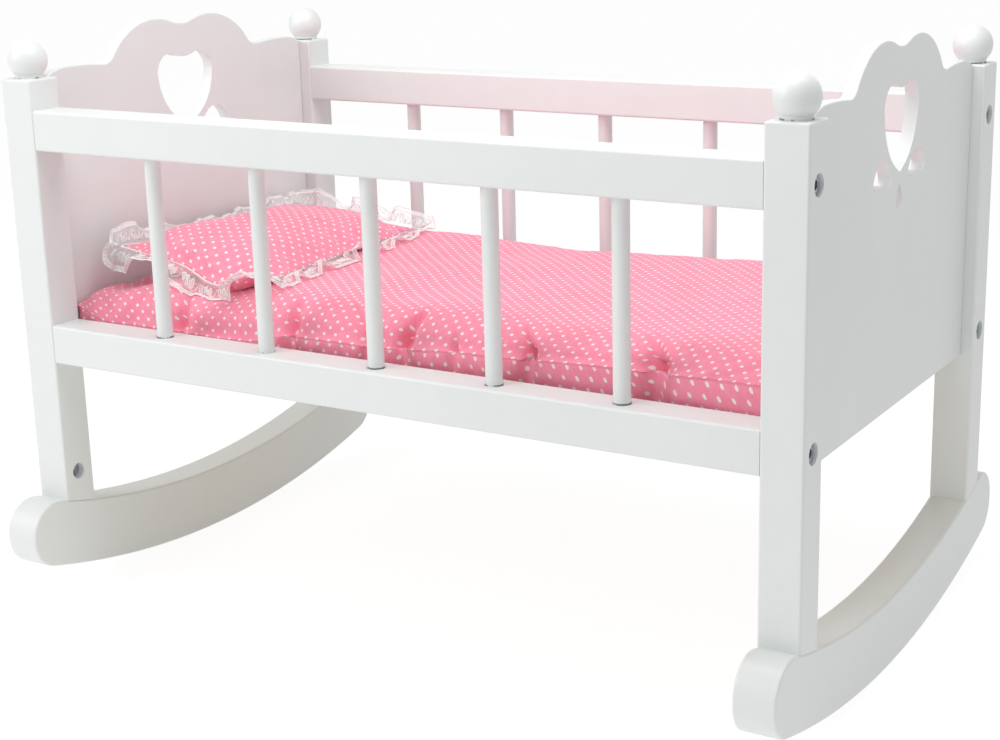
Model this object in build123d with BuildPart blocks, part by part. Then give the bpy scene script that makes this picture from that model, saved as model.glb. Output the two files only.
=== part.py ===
from build123d import *

import os
from math import cos, radians, sin, sqrt

# Doll cradle: two end frames, each of two square posts, a scalloped panel and a curved
# rocker, joined by two spindled sides. A thin board in the lower rails carries a stuffed
# mattress, and a small pillow with a frill lies at the head end.
# Millimetres. X runs from the head end to the foot end, Y across the bed from front to
# back, and Z up from the floor. The origin is on the floor, under the middle of the bed.

os.makedirs("parts", exist_ok=True)

# Overall sizes, outside the posts
frame_length = 551.0
frame_width = 313.0
post_height = 346.0

# Painted square stock: posts and rockers share one thickness
post_side = 25.0
arris = 1.5

# Rockers: the underside rolls on the floor, and the posts stand on the upper curve
rocker_roll_radius = 642.0
rocker_top_radius = 580.0
rocker_waist = 43.5
rocker_overhang = 32.0
# Radius at the ends: share of the rocker's depth there
rocker_end_share = 0.45

# Side rails, and the opening between them that the spindles cross
rail_height = 25.5
rail_thickness = 24.0
rail_drop = 19.5
side_opening = 115.0

# Spindles
spindle_diameter = 10.0
spindle_count = 5
spindle_pitch = 82.0
spindle_seat = 9.0

# End panels with a scalloped crest
panel_thickness = 8.0
panel_recess = 8.0
panel_hang = 2.0
panel_side_gap = 0.2
panel_arris = 1.0
crest_rise = 28.5
hump_radius = 53.0
hump_offset = 28.0
valley_radius = 30.0
notch_radius = 12.0
shoulder_rise = 4.3
# The shoulder starts inside the hump, at this share of the way from its centre to its edge
shoulder_start_share = 0.71
# Along the shoulder: share of the way out to the panel's edge, share of the shoulder's rise
shoulder_shares = ((1.0, 0.0), (0.89, 0.7), (0.74, 1.0), (0.49, 0.95), (0.0, 0.07))

# Pierced motif in each panel: a heart, two upside-down small hearts and a drop
heart_width = 56.4
heart_height = 50.8
heart_margin = 25.0
# Half outline from the dip to the tip: share of the half width, share of the height down
heart_shares = (
    (0.0, 0.065), (0.22, 0.045), (0.44, 0.004), (0.887, 0.085), (1.0, 0.32),
    (0.762, 0.685), (0.14, 0.97), (0.0, 1.0),
)
leaf_width = 29.0
leaf_height = 18.0
leaf_offset = 14.0
leaf_lift = 11.0
# Whole outline, starting and ending at the tip: share of the width out, of the height down
leaf_shares = (
    (0.55, 0.0), (0.845, 0.267), (1.0, 0.655), (0.945, 0.86), (0.776, 0.911),
    (0.503, 0.856), (0.207, 0.989), (0.045, 0.94), (0.0, 0.728), (0.224, 0.244),
)
drop_width = 10.4
drop_height = 15.0
drop_gap = 6.5
# Half outline from the top to the foot: share of the half width, share of the height down
drop_shares = ((0.0, 0.0), (0.7, 0.37), (1.0, 0.66), (0.7, 0.9), (0.0, 1.0))

# Ball finials
finial_diameter = 25.0
finial_foot_diameter = 17.2
finial_foot_height = 2.2

# Furniture bolts and barrel nuts
bolt_diameter = 6.0
bolt_length = 60.0
bolt_head_diameter = 10.0
bolt_head_height = 6.0
bolt_socket = 5.0
bolt_socket_depth = 3.0
bolt_chamfer = 0.6
bolt_play = 0.3
counterbore_diameter = 12.4
counterbore_depth = 8.0
nut_diameter = 10.0
nut_length = 14.0
nut_slot_width = 1.6
nut_slot_depth = 1.2
nut_reach = 30.0
nut_rise = 21.0
nut_overrun = 8.0
mouth_chamfer = 0.7

# Wooden dowels and pins
finial_dowel_diameter = 6.0
finial_dowel_depth = 11.0
panel_dowel_diameter = 4.0
panel_dowel_depth = 12.0
dowel_chamfer = 0.5
# Heights of the panel dowels: share of the way from the lower rail to the top rail
panel_dowel_shares = (0.2, 0.5, 0.8)
rail_pin_diameter = 4.0
rail_pin_depth = 10.0
rail_pin_offset = 8.0

# Fits: round a glued or tightened piece, and past its end
fit = 0.05
end_play = 0.3

# Base board in the grooves of the lower rails
board_thickness = 4.0
board_rise = 8.0
groove_depth = 5.0
groove_play = 0.3

# Mattress: drawn-in sides between sharp corners, a seam low on the edge and a crown
mattress_thickness = 43.0
mattress_seam_height = 18.0
mattress_gap = 1.5
mattress_draw = 3.0
rest_gap = 0.3
# Levels below and above the seam: share of that height, inset of the corners and of the
# sides as shares of the cushion's half width
mattress_lower_shares = ((0.0, 0.14, 0.09), (0.35, 0.055, 0.025), (1.0, 0.0, 0.0))
mattress_upper_shares = (
    (0.0, 0.0, 0.0), (0.4, 0.05, 0.025), (0.75, 0.17, 0.1), (0.94, 0.38, 0.26), (1.0, 0.6, 0.48),
)

# Pillow, lying on the mattress and tilted up against the head panel
pillow_length = 195.0
pillow_width = 110.0
pillow_lower_depth = 5.5
pillow_upper_depth = 20.0
pillow_draw = 2.0
pillow_tilt = 3.5
pillow_lower_shares = ((0.0, 0.5, 0.34), (0.55, 0.17, 0.1), (1.0, 0.0, 0.0))
pillow_upper_shares = (
    (0.0, 0.0, 0.0), (0.35, 0.11, 0.06), (0.7, 0.3, 0.2), (0.93, 0.55, 0.42), (1.0, 0.75, 0.62),
)

# Gathered frill round the pillow's seam
frill_width = 17.0
frill_thickness = 0.8
frill_gap = 0.3
frill_inner_wave = 0.4
frill_outer_wave = 2.8
frill_wave_pitch = 28.0
frill_panel_gap = 2.5


def arc_rise(radius, offset):
    """Height of an arc above its lowest point, at a distance from that point."""
    return radius - sqrt(radius**2 - offset**2)


def rocker_top(y):
    """Height of the rocker's upper curve above the floor."""
    return rocker_waist + arc_rise(rocker_top_radius, y)


# Places worked out from the sizes above
half_length = frame_length / 2
half_width = frame_width / 2
post_x = half_length - post_side / 2
post_y = half_width - post_side / 2
inner_x = half_length - post_side
inner_y = half_width - post_side
rocker_half = half_width + rocker_overhang

top_rail_bottom = post_height - rail_drop - rail_height
low_rail_top = top_rail_bottom - side_opening
low_rail_bottom = low_rail_top - rail_height
rail_bottoms = {"top": top_rail_bottom, "lower": low_rail_bottom}
rail_axes = [bottom + rail_height / 2 for bottom in rail_bottoms.values()]
pin_axes = [height + rail_pin_offset for height in rail_axes]
rail_inner_y = post_y - rail_thickness / 2
spindle_places = [
    spindle_pitch * (number - (spindle_count - 1) / 2) for number in range(spindle_count)]

panel_x = half_length - panel_recess - panel_thickness / 2
panel_inner_x = panel_x - panel_thickness / 2
panel_half = inner_y - panel_side_gap
panel_bottom = low_rail_bottom - panel_hang
crest_top = post_height + crest_rise
heart_top = crest_top - heart_margin
heart_tip = heart_top - heart_height
panel_dowel_heights = [
    min(rail_axes) + share * (max(rail_axes) - min(rail_axes)) for share in panel_dowel_shares]

rail_bolt_seat = half_length - counterbore_depth
rail_nut_x = inner_x - nut_reach
rocker_seat = rocker_top(post_y)
rocker_nut_height = rocker_seat + nut_rise
rocker_bolt_tip = rocker_nut_height + nut_overrun
rocker_bolt_seat = rocker_bolt_tip - bolt_length

board_bottom = low_rail_bottom + board_rise
board_top = board_bottom + board_thickness
mattress_bottom = board_top + rest_gap
mattress_top = mattress_bottom + mattress_thickness

bolt_hole_radius = bolt_diameter / 2 + bolt_play
nut_hole_radius = nut_diameter / 2 + fit
spindle_hole_radius = spindle_diameter / 2 + fit
finial_dowel_hole_radius = finial_dowel_diameter / 2 + fit
panel_dowel_hole_radius = panel_dowel_diameter / 2 + fit
rail_pin_hole_radius = rail_pin_diameter / 2 + fit

ends = {"head": -1, "foot": 1}
sides = {"front": -1, "back": 1}
corners = [(end, side) for end in ends.values() for side in sides.values()]


def save(part, name):
    """Label a finished piece and write it as its own file."""
    part.label = name
    export_step(part, f"parts/{name}.step")


def facing_x(direction, x, y):
    """Plane at x that looks along X, with its own Y axis pointing up and its origin at z = 0."""
    return Plane(origin=(x, y, 0), x_dir=(0, direction, 0), z_dir=(direction, 0, 0))


def facing_y(direction, x, y):
    """Plane at y that looks along Y, with its own Y axis pointing up and its origin at z = 0."""
    return Plane(origin=(x, y, 0), x_dir=(-direction, 0, 0), z_dir=(0, direction, 0))


def up_to(heights):
    """Locations on an upright plane at the given heights."""
    return Locations(*[(0, height) for height in heights])


def arc_chain(points):
    """Arcs through the points, every second point being the middle of one."""
    with BuildLine() as chain:
        for start, middle, end in zip(points[:-2:2], points[1:-1:2], points[2::2]):
            ThreePointArc(start, middle, end)
    return chain.edges()


def with_mirror(half):
    """Close a half outline with its mirror image across the upright centre line."""
    return half + [(-y, z) for y, z in reversed(half[:-1])]


# Rockers
def make_rocker(end):
    """A curved rocker under one end frame, bored from below for the bolt of each post."""
    end_height = arc_rise(rocker_roll_radius, rocker_half)
    left, right = [(y, rocker_top(y)) for y in (-rocker_half, rocker_half)]
    with BuildPart() as rocker:
        with BuildSketch(Plane.YZ.offset(end * post_x - post_side / 2)) as profile:
            with BuildLine():
                under = ThreePointArc((-rocker_half, end_height), (0, 0), (rocker_half, end_height))
                over = ThreePointArc(left, (0, rocker_waist), right)
                Line(under @ 0, over @ 0)
                Line(under @ 1, over @ 1)
            make_face()
            fillet(profile.vertices(), radius=rocker_end_share * (rocker_top(rocker_half) - end_height))
        extrude(amount=post_side)
        fillet(rocker.faces().filter_by(Axis.X).edges(), radius=arris)
        with BuildSketch(Plane.XY.offset(rocker_bolt_seat)):
            with Locations((end * post_x, -post_y), (end * post_x, post_y)):
                Circle(counterbore_diameter / 2)
        extrude(amount=-rocker_bolt_seat, mode=Mode.SUBTRACT)
        with BuildSketch():
            with Locations((end * post_x, -post_y), (end * post_x, post_y)):
                Circle(bolt_hole_radius)
        extrude(amount=rocker_bolt_tip, mode=Mode.SUBTRACT)
    return rocker.part


# Posts
def make_post(end, side):
    """A square post, cut at the foot to the rocker's curve and bored for its fittings."""
    near_y, far_y = side * inner_y, side * half_width
    with BuildPart() as post:
        with BuildSketch(Plane.YZ.offset(end * post_x - post_side / 2)):
            with BuildLine():
                foot = ThreePointArc(
                    (near_y, rocker_top(near_y)),
                    (side * post_y, rocker_seat),
                    (far_y, rocker_top(far_y)),
                )
                Polyline(foot @ 1, (far_y, post_height), (near_y, post_height), foot @ 0)
            make_face()
        extrude(amount=post_side)
        top_edges = post.faces().sort_by(Axis.Z)[-1].edges()
        fillet(post.edges().filter_by(Axis.Z) + top_edges, radius=arris)
        with Locations(facing_x(end, end * half_length, side * post_y)):
            with up_to(rail_axes):
                CounterBoreHole(
                    bolt_hole_radius, counterbore_diameter / 2, counterbore_depth, post_side)
        with Locations(facing_x(-end, end * inner_x, side * post_y)):
            with up_to(pin_axes):
                Hole(rail_pin_hole_radius, rail_pin_depth + end_play)
            with up_to([rocker_nut_height]):
                CounterSinkHole(
                    nut_hole_radius,
                    nut_hole_radius + mouth_chamfer,
                    (post_side + nut_length) / 2 + end_play,
                )
        with Locations(facing_y(-side, end * panel_x, near_y)):
            with up_to(panel_dowel_heights):
                Hole(panel_dowel_hole_radius, panel_dowel_depth + end_play)
        with Locations((end * post_x, side * post_y, post_height)):
            Hole(finial_dowel_hole_radius, finial_dowel_depth + end_play)
        with BuildSketch():
            with Locations((end * post_x, side * post_y)):
                Circle(bolt_hole_radius)
        extrude(amount=rocker_bolt_tip + end_play, mode=Mode.SUBTRACT)
    return post.part


# End panels
def motif_outlines():
    """The heart, an upside-down small heart on each side of its tip, and the drop."""
    heart = [(heart_width / 2 * y, heart_top - heart_height * z) for y, z in heart_shares]
    leaf_top = heart_tip + leaf_lift
    leaf = [(leaf_offset + leaf_width * y, leaf_top - leaf_height * z) for y, z in leaf_shares]
    leaf.append(leaf[0])
    drop_top = heart_tip - drop_gap
    drop = [(drop_width / 2 * y, drop_top - drop_height * z) for y, z in drop_shares]
    return [with_mirror(heart), leaf, [(-y, z) for y, z in leaf], with_mirror(drop)]


def make_panel(end):
    """A scalloped end panel with the pierced motif, bored in its edges for dowels."""
    hump_z = crest_top - hump_radius
    start = hump_offset + shoulder_start_share * hump_radius
    shoulder = [
        (start + (panel_half - start) * y, post_height + shoulder_rise * z)
        for y, z in shoulder_shares
    ]
    other = [(-y, z) for y, z in shoulder]
    with BuildPart() as panel:
        with BuildSketch(Plane.YZ.offset(end * panel_x - panel_thickness / 2)) as face:
            with BuildLine():
                add(arc_chain(shoulder))
                Line(shoulder[-1], other[-1])
                add(arc_chain(other))
                Polyline(
                    shoulder[0], (panel_half, panel_bottom), (-panel_half, panel_bottom), other[0])
            make_face()
            with Locations((-hump_offset, hump_z), (hump_offset, hump_z)):
                Circle(hump_radius)
            creases = face.vertices().filter_by(lambda corner: abs(corner.X) < hump_offset + hump_radius)
            valley, *notches = creases.sort_by(lambda corner: abs(corner.X))
            fillet(valley, radius=valley_radius)
            fillet([face.vertices().sort_by_distance(notch)[0] for notch in notches], radius=notch_radius)
        extrude(amount=panel_thickness)
        fillet(panel.faces().filter_by(Axis.X).edges(), radius=panel_arris)
        with BuildSketch(Plane.YZ.offset(end * panel_x)):
            for outline in motif_outlines():
                make_face(arc_chain(outline))
        extrude(amount=panel_thickness, both=True, mode=Mode.SUBTRACT)
        for side in sides.values():
            with Locations(facing_y(side, end * panel_x, side * panel_half)):
                with up_to(panel_dowel_heights):
                    Hole(panel_dowel_hole_radius, panel_dowel_depth + end_play)
    return panel.part


# Side rails
def make_rail(level, side):
    """A side rail, bored for the spindles, and at each end for a bolt, its nut and a pin."""
    bottom = rail_bottoms[level]
    middle = bottom + rail_height / 2
    opening_z, opens = (bottom, -1) if level == "top" else (bottom + rail_height, 1)
    with BuildPart() as rail:
        with Locations((0, side * post_y, middle)):
            Box(2 * inner_x, rail_thickness, rail_height)
        fillet(rail.edges().filter_by(Axis.X), radius=arris)
        if level == "lower":
            with Locations((0, side * rail_inner_y, board_bottom)):
                Box(
                    2 * inner_x,
                    2 * groove_depth,
                    board_thickness + groove_play,
                    align=(Align.CENTER, Align.CENTER, Align.MIN),
                    mode=Mode.SUBTRACT,
                )
        with Locations(Plane(origin=(0, side * post_y, opening_z), z_dir=(0, 0, opens))):
            with Locations(*[(x, 0) for x in spindle_places]):
                CounterSinkHole(
                    spindle_hole_radius,
                    spindle_hole_radius + mouth_chamfer,
                    spindle_seat + end_play,
                )
        for end in ends.values():
            with Locations(facing_x(end, end * inner_x, side * post_y)):
                with up_to([middle]):
                    Hole(bolt_hole_radius, inner_x - rail_bolt_seat + bolt_length + end_play)
                with up_to([middle + rail_pin_offset]):
                    Hole(rail_pin_hole_radius, rail_pin_depth + end_play)
            with Locations(Plane(origin=(end * rail_nut_x, side * post_y, bottom), z_dir=(0, 0, -1))):
                CounterSinkHole(
                    nut_hole_radius,
                    nut_hole_radius + mouth_chamfer,
                    (rail_height + nut_length) / 2 + end_play,
                )
    return rail.part


# Spindles
def make_spindle(x, side):
    """A straight round spindle, seated in the lower and the top rail."""
    with BuildPart() as spindle:
        with Locations((x, side * post_y, low_rail_top - spindle_seat)):
            Cylinder(
                spindle_diameter / 2,
                side_opening + 2 * spindle_seat,
                align=(Align.CENTER, Align.CENTER, Align.MIN),
            )
        chamfer(spindle.edges().filter_by(GeomType.CIRCLE), dowel_chamfer)
    return spindle.part


# Finials
def make_finial(end, side):
    """A wooden ball on a short turned foot, bored for its dowel."""
    ball, foot = finial_diameter / 2, finial_foot_diameter / 2
    ball_z = post_height + finial_foot_height + sqrt(ball**2 - foot**2)
    with BuildPart() as finial:
        with Locations((end * post_x, side * post_y, ball_z)):
            Sphere(ball)
            Cylinder(foot, ball_z - post_height, align=(Align.CENTER, Align.CENTER, Align.MAX))
        split(bisect_by=Plane.XY.offset(post_height), keep=Keep.TOP)
        with Locations(Plane(origin=(end * post_x, side * post_y, post_height), z_dir=(0, 0, -1))):
            Hole(finial_dowel_hole_radius, finial_dowel_depth + end_play)
    return finial.part


# Fasteners: identical ones stay together as a group of separate solids
def make_bolt():
    """A socket-head bolt along Z, its head's seat at zero and its tip below."""
    with BuildPart() as bolt:
        Cylinder(
            bolt_diameter / 2, bolt_length, align=(Align.CENTER, Align.CENTER, Align.MAX))
        chamfer(bolt.faces().sort_by(Axis.Z)[0].edges(), bolt_chamfer)
        Cylinder(
            bolt_head_diameter / 2,
            bolt_head_height,
            align=(Align.CENTER, Align.CENTER, Align.MIN),
        )
        head = bolt.faces().sort_by(Axis.Z)[-1]
        fillet(head.edges(), radius=bolt_chamfer)
        with BuildSketch(Plane.XY.offset(bolt_head_height)):
            RegularPolygon(bolt_socket / 2, 6, major_radius=False)
        extrude(amount=-bolt_socket_depth, mode=Mode.SUBTRACT)
    return bolt.part


def make_nut():
    """A barrel nut along Z with a driver slot in its upper end, its cross hole along X."""
    with BuildPart() as nut:
        Cylinder(nut_diameter / 2, nut_length)
        chamfer(nut.edges().filter_by(GeomType.CIRCLE), bolt_chamfer)
        with Locations(Plane.YZ):
            Hole(bolt_diameter / 2 + fit)
        with Locations((0, 0, nut_length / 2)):
            Box(nut_diameter, nut_slot_width, 2 * nut_slot_depth, mode=Mode.SUBTRACT)
    return nut.part


def make_dowel(diameter, length):
    """A round wooden dowel along Z, centred, with chamfered ends."""
    with BuildPart() as dowel:
        Cylinder(diameter / 2, length)
        chamfer(dowel.edges().filter_by(GeomType.CIRCLE), dowel_chamfer)
    return dowel.part


def group(piece, planes):
    """Copies of one piece, each laid on a plane, kept as separate solids."""
    with BuildPart() as pieces:
        with Locations(*planes):
            add(piece)
    return pieces.part


def make_rail_bolts():
    """Two bolts through each post into the rail ends."""
    return group(make_bolt(), [
        Plane(origin=(end * rail_bolt_seat, side * post_y, z), z_dir=(end, 0, 0))
        for end, side in corners for z in rail_axes
    ])


def make_rail_nuts():
    """A barrel nut in each rail end, put in from below."""
    return group(make_nut(), [
        Plane(origin=(end * rail_nut_x, side * post_y, z), x_dir=(1, 0, 0), z_dir=(0, 0, -1))
        for end, side in corners for z in rail_axes
    ])


def make_rocker_bolts():
    """A bolt up through the rocker into each post."""
    return group(make_bolt(), [
        Plane(origin=(end * post_x, side * post_y, rocker_bolt_seat), z_dir=(0, 0, -1))
        for end, side in corners
    ])


def make_rocker_nuts():
    """A barrel nut low in the inner face of each post."""
    return group(make_nut(), [
        Plane(
            origin=(end * post_x, side * post_y, rocker_nut_height),
            x_dir=(0, 0, 1),
            z_dir=(-end, 0, 0),
        )
        for end, side in corners
    ])


def make_finial_dowels():
    """A dowel between each post and its finial."""
    dowel = make_dowel(finial_dowel_diameter, 2 * finial_dowel_depth)
    return group(dowel, [
        Plane(origin=(end * post_x, side * post_y, post_height)) for end, side in corners])


def make_panel_dowels():
    """Three dowels between each panel edge and its post."""
    dowel = make_dowel(panel_dowel_diameter, 2 * panel_dowel_depth + panel_side_gap)
    joint_y = (inner_y + panel_half) / 2
    return group(dowel, [
        Plane(origin=(end * panel_x, side * joint_y, z), z_dir=(0, side, 0))
        for end, side in corners for z in panel_dowel_heights
    ])


def make_rail_pins():
    """A pin beside each rail bolt, which keeps the rail from turning."""
    return group(make_dowel(rail_pin_diameter, 2 * rail_pin_depth), [
        Plane(origin=(end * inner_x, side * post_y, z), z_dir=(end, 0, 0))
        for end, side in corners for z in pin_axes
    ])


# Base board
def make_base_board():
    """A thin board in the lower rails' grooves, notched round the posts."""
    with BuildPart() as board:
        with BuildSketch(Plane.XY.offset(board_bottom)):
            Rectangle(2 * (inner_x - end_play), 2 * (rail_inner_y + groove_depth - end_play))
            Rectangle(2 * (panel_inner_x - end_play), 2 * (inner_y - end_play))
        extrude(amount=board_thickness)
    return board.part


# Mattress and pillow
def cushion_level(half_x, half_y, draw, corner_share, side_share):
    """Outline of a cushion at one level: an arc between each two corners."""
    inset = half_y if half_y < half_x else half_x
    corner_x, corner_y = half_x - corner_share * inset, half_y - corner_share * inset
    side_x, side_y = half_x - draw - side_share * inset, half_y - draw - side_share * inset
    return arc_chain([
        (corner_x, corner_y), (0, side_y), (-corner_x, corner_y), (-side_x, 0),
        (-corner_x, -corner_y), (0, -side_y), (corner_x, -corner_y), (side_x, 0),
        (corner_x, corner_y),
    ])


def make_cushion(seam, half_x, half_y, draw, halves):
    """A stuffed cushion with its seam on a plane: a lower and an upper half, each lofted.

    halves holds, for each half, the height of its first level, its depth and its shares.
    """
    with BuildPart() as cushion:
        for start, depth, shares in halves:
            for height, corner_share, side_share in shares:
                with BuildSketch(seam.offset(start + depth * height)):
                    make_face(cushion_level(half_x, half_y, draw, corner_share, side_share))
            loft()
    return cushion.part


def make_mattress():
    """The mattress, lying loose on the base board."""
    seam = Plane.XY.offset(mattress_bottom + mattress_seam_height)
    return make_cushion(
        seam, panel_inner_x - mattress_gap, inner_y - mattress_gap, mattress_draw,
        [
            (-mattress_seam_height, mattress_seam_height, mattress_lower_shares),
            (0, mattress_thickness - mattress_seam_height, mattress_upper_shares),
        ],
    )


# The pillow's seam plane: its lower edge rests on the mattress
pillow_half_x, pillow_half_y = pillow_width / 2, pillow_length / 2
tilt_cos, tilt_sin = cos(radians(pillow_tilt)), sin(radians(pillow_tilt))
pillow_foot = pillow_half_x * (1 - pillow_lower_shares[0][2])
pillow_x = frill_panel_gap + frill_width + pillow_half_x - panel_inner_x
pillow_z = mattress_top + rest_gap + pillow_lower_depth * tilt_cos + pillow_foot * tilt_sin
pillow_seam = Plane(
    origin=(pillow_x, 0, pillow_z), x_dir=(tilt_cos, 0, -tilt_sin), z_dir=(tilt_sin, 0, tilt_cos))


def make_pillow():
    """The pillow, lying on the mattress against the head panel."""
    return make_cushion(
        pillow_seam, pillow_half_x, pillow_half_y, pillow_draw,
        [
            (-pillow_lower_depth, pillow_lower_depth, pillow_lower_shares),
            (0, pillow_upper_depth, pillow_upper_shares),
        ],
    )


def frill_section(half_run, waves, wave):
    """Section of a wavy strip: as many arcs up as down, on both of its faces."""
    step = half_run / waves
    places = [number * step / 2 - half_run for number in range(4 * waves + 1)]
    heights = [wave * (0, 1, 0, -1)[number % 4] for number in range(4 * waves + 1)]
    lower = [(x, z - frill_thickness / 2) for x, z in zip(places, heights)]
    upper = [(x, z + frill_thickness) for x, z in lower]
    ends = [Edge.make_line(lower[0], upper[0]), Edge.make_line(lower[-1], upper[-1])]
    return arc_chain(lower) + arc_chain(upper) + ends


def make_frill():
    """The gathered frill: a wavy strip along each side of the pillow, mitred at the corners."""
    with BuildPart() as frill:
        for out_x, out_y in ((1, 0), (0, 1), (-1, 0), (0, -1)):
            reach = pillow_half_x if out_x else pillow_half_y
            run = pillow_half_y if out_x else pillow_half_x
            waves = round(2 * run / frill_wave_pitch)
            outward = pillow_seam.x_dir * out_x + pillow_seam.y_dir * out_y
            along = pillow_seam.y_dir * out_x - pillow_seam.x_dir * out_y
            levels = ((frill_gap, frill_inner_wave), (frill_gap + frill_width, frill_outer_wave))
            for distance, wave in levels:
                origin = pillow_seam.origin + outward * (reach + distance)
                with BuildSketch(Plane(origin=origin, x_dir=along, z_dir=outward)):
                    make_face(frill_section(run + distance, waves, wave))
            loft(ruled=True)
    return frill.part


for end_name, end in ends.items():
    save(make_rocker(end), f"{end_name}_rocker")
    save(make_panel(end), f"{end_name}_panel")
    for side_name, side in sides.items():
        save(make_post(end, side), f"{end_name}_post_{side_name}")
        save(make_finial(end, side), f"{end_name}_finial_{side_name}")

for side_name, side in sides.items():
    save(make_rail("top", side), f"top_rail_{side_name}")
    save(make_rail("lower", side), f"lower_rail_{side_name}")
    for number, x in enumerate(spindle_places, start=1):
        save(make_spindle(x, side), f"spindle_{side_name}_{number}")

save(make_rail_bolts(), "rail_bolts")
save(make_rail_nuts(), "rail_barrel_nuts")
save(make_rail_pins(), "rail_pins")
save(make_rocker_bolts(), "rocker_bolts")
save(make_rocker_nuts(), "rocker_barrel_nuts")
save(make_finial_dowels(), "finial_dowels")
save(make_panel_dowels(), "panel_dowels")
save(make_base_board(), "base_board")
save(make_mattress(), "mattress")
save(make_pillow(), "pillow")
save(make_frill(), "pillow_frill")
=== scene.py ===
"""Dresses the doll cradle: white lacquer, zinc, dotted cotton and a gathered net frill.

Everything is in metres, in the model's own frame: +X towards the foot end, -Y towards the
front side, +Z up, and the floor at z = 0.
"""

from bisect import bisect_left
from math import cos, exp, hypot, pi, radians, sin

import bmesh
import bpy
from bpy.props import FloatProperty, FloatVectorProperty, PointerProperty
from mathutils import Matrix, Vector, noise
from mathutils.bvhtree import BVHTree


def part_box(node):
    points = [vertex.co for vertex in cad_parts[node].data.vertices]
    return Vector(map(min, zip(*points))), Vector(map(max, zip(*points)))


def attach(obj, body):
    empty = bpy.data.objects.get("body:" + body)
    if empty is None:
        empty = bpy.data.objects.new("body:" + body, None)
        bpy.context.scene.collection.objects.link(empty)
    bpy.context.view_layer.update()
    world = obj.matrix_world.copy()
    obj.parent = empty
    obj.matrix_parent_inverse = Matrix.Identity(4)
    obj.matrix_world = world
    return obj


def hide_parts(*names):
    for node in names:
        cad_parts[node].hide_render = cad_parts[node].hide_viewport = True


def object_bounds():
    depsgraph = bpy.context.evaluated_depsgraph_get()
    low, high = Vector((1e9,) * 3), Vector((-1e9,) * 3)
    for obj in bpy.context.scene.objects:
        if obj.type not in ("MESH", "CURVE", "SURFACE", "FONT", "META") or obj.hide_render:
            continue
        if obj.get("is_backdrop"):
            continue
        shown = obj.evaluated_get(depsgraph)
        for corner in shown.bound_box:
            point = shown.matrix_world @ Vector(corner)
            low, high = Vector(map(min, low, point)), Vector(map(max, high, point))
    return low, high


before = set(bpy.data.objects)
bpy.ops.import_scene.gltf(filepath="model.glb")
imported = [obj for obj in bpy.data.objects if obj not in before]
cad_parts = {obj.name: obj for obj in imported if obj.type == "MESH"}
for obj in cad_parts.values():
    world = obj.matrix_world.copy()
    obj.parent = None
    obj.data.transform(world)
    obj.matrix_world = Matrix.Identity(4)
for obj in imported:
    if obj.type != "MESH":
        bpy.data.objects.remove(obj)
cad_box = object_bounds()

bl_info = {
    "name": "Doll Cradle",
    "version": (1, 0, 0),
    "blender": (4, 5, 0),
    "location": "View3D > Sidebar > Cradle",
    "description": "Paints the cradle and makes its mattress, pillow and frill",
    "category": "Object",
}

MM = 0.001

PANELS = ("head_panel", "foot_panel")
ROCKERS = ("head_rocker", "foot_rocker")
POSTS = tuple(f"{end}_post_{side}" for end in ("head", "foot") for side in ("front", "back"))
FINIALS = tuple(f"{end}_finial_{side}" for end in ("head", "foot") for side in ("front", "back"))
RAILS = tuple(f"{level}_rail_{side}" for level in ("top", "lower") for side in ("front", "back"))
SPINDLES = tuple(f"spindle_{side}_{n}" for side in ("front", "back") for n in range(1, 6))
BOLTS = ("rail_bolts", "rocker_bolts")
BARREL_NUTS = ("rail_barrel_nuts", "rocker_barrel_nuts")
HIDDEN_WOOD = ("finial_dowels", "panel_dowels", "rail_pins")

MATTRESS = "mattress_cotton"
PILLOW = "pillow_cotton"
FRILL = "frill_net"
THREADS = "frill_threads"


def length(name, description, default):
    """A property for a size in metres."""
    return FloatProperty(
        name=name, description=description, default=default, subtype="DISTANCE", unit="LENGTH",
        precision=5)


def share(name, description, default):
    """A property for a share from 0 to 1."""
    return FloatProperty(
        name=name, description=description, default=default, min=0, max=1, subtype="FACTOR")


def colour(name, description, default):
    """A property for a colour."""
    return FloatVectorProperty(
        name=name, description=description, default=default, size=3, min=0, max=1,
        subtype="COLOR")


class FinishSettings(bpy.types.PropertyGroup):
    """Colours of the hard finishes."""

    lacquer: colour("Lacquer", "White lacquer on the wood", (0.775, 0.80, 0.79))
    lacquer_gloss: share("Lacquer roughness", "How matt the lacquer is", 0.36)
    grain: length("Grain", "Width of the grain that shows through the lacquer", 0.0022)
    zinc: colour("Zinc", "Plated bolts and barrel nuts", (0.47, 0.50, 0.54))
    beech: colour("Beech", "Bare dowels and pins", (0.62, 0.42, 0.25))
    plywood: colour("Plywood", "The board under the mattress", (0.66, 0.50, 0.33))


class CottonSettings(bpy.types.PropertyGroup):
    """The dotted cotton of the mattress and pillow."""

    ground: colour("Ground", "Pink of the cloth", (0.94, 0.28, 0.395))
    dot: colour("Dots", "Colour of the printed dots", (0.94, 0.80, 0.83))
    dot_diameter: length("Dot size", "Diameter of a printed dot", 0.0022)
    dot_pitch: length("Dot pitch", "Distance between dots along a row", 0.0092)
    thread: length("Thread", "Width of a thread of the weave", 0.00036)


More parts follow.
